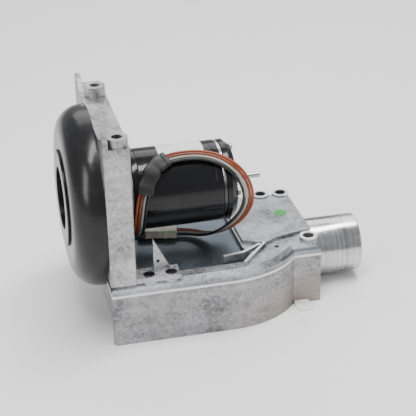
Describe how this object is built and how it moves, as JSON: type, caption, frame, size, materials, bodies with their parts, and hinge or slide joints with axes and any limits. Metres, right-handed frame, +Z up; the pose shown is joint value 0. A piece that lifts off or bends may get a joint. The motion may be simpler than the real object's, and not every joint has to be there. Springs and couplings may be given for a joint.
{
  "type": "combustion fan",
  "caption": "Motor-driven centrifugal combustion fan: round black impeller shell on an upright cast frame, over a die-cast discharge box with a round outlet spigot.",
  "frame": {"origin": "under the middle of the whole fan, on the face it stands on", "axes": "+X along the rotor's axis from the impeller shell towards the outlet spigot, +Y towards the back, +Z up"},
  "size_m": [0.254, 0.1524, 0.181],
  "materials": {
    "cast_aluminium": "as die cast, matt and mottled",
    "machined_aluminium": "turned bright",
    "shell_black": "dark gloss enamel",
    "motor_black": "black gloss enamel",
    "bright_band": "bright plated",
    "zinc_steel": "zinc plated",
    "dark_screw": "black oxide",
    "ground_steel": "ground",
    "lamination": "laminated, oxidised",
    "copper_wire": "enamelled",
    "impeller_metal": "pressed sheet",
    "seal_grey": "pale grey sealing strip",
    "seal_black": "matt",
    "white_nylon": "moulded",
    "cream_nylon": "moulded",
    "black_nylon": "moulded",
    "label_white": "satin film, blank",
    "green_sticker": "printed paper dot",
    "brown_lead": "PVC insulation",
    "white_lead": "PVC insulation",
    "black_lead": "PVC insulation"
  },
  "bodies": {
    "housing": {"cable_tie": "black_nylon", "casing_base": "cast_aluminium", "casing_cover": "cast_aluminium", "cover_screws": "dark_screw", "cover_seal": "seal_grey", "foot_tab": "white_nylon", "frame": "cast_aluminium", "frame_screws": "dark_screw", "front_bearing_outer_ring": "ground_steel", "impeller_shell": "shell_black", "inlet_ring": "shell_black", "inspection_dot": "green_sticker", "lead_black": "black_lead", "lead_brown": "brown_lead", "lead_brown_second": "brown_lead", "lead_connector": "cream_nylon", "lead_gland": "black_nylon", "lead_sleeve": "black_nylon", "lead_white": "white_lead", "motor_can": "motor_black", "motor_front_band": "bright_band", "motor_front_bell": "motor_black", "motor_rear_band": "bright_band", "motor_rear_bell": "motor_black", "motor_screws": "zinc_steel", "outlet_spigot": "machined_aluminium", "rating_label": "label_white", "rear_bearing_outer_ring": "ground_steel", "shaft_seal": "seal_black", "shell_screws": "dark_screw", "stator_core": "lamination", "stator_winding": "copper_wire", "tie_rods": "zinc_steel", "wave_washer": "zinc_steel"},
    "rotor": {"motor_shaft": "ground_steel", "rotor_core": "lamination", "rotor_end_rings": "machined_aluminium", "impeller_hub": "machined_aluminium", "impeller_back_plate": "impeller_metal", "impeller_shroud": "impeller_metal", "impeller_blades": "impeller_metal", "impeller_nut": "zinc_steel", "front_bearing_inner_ring": "ground_steel", "rear_bearing_inner_ring": "ground_steel"},
    "front_balls": {"front_bearing_balls": "ground_steel"},
    "rear_balls": {"rear_bearing_balls": "ground_steel"}
  },
  "joints": [
    {"name": "rotor_spin", "type": "hinge", "parent": "housing", "child": "rotor", "pos_m": [-0.07, 0, 0.102], "axis": [1, 0, 0], "continuous": true},
    {"name": "front_balls_orbit", "type": "hinge", "parent": "housing", "child": "front_balls", "pos_m": [-0.07, 0, 0.102], "axis": [1, 0, 0], "continuous": true},
    {"name": "rear_balls_orbit", "type": "hinge", "parent": "housing", "child": "rear_balls", "pos_m": [-0.07, 0, 0.102], "axis": [1, 0, 0], "continuous": true}
  ],
  "couplings": [
    {"joint": "front_balls_orbit", "follows": "rotor_spin", "ratio": 0.3767},
    {"joint": "rear_balls_orbit", "follows": "rotor_spin", "ratio": 0.3767}
  ]
}
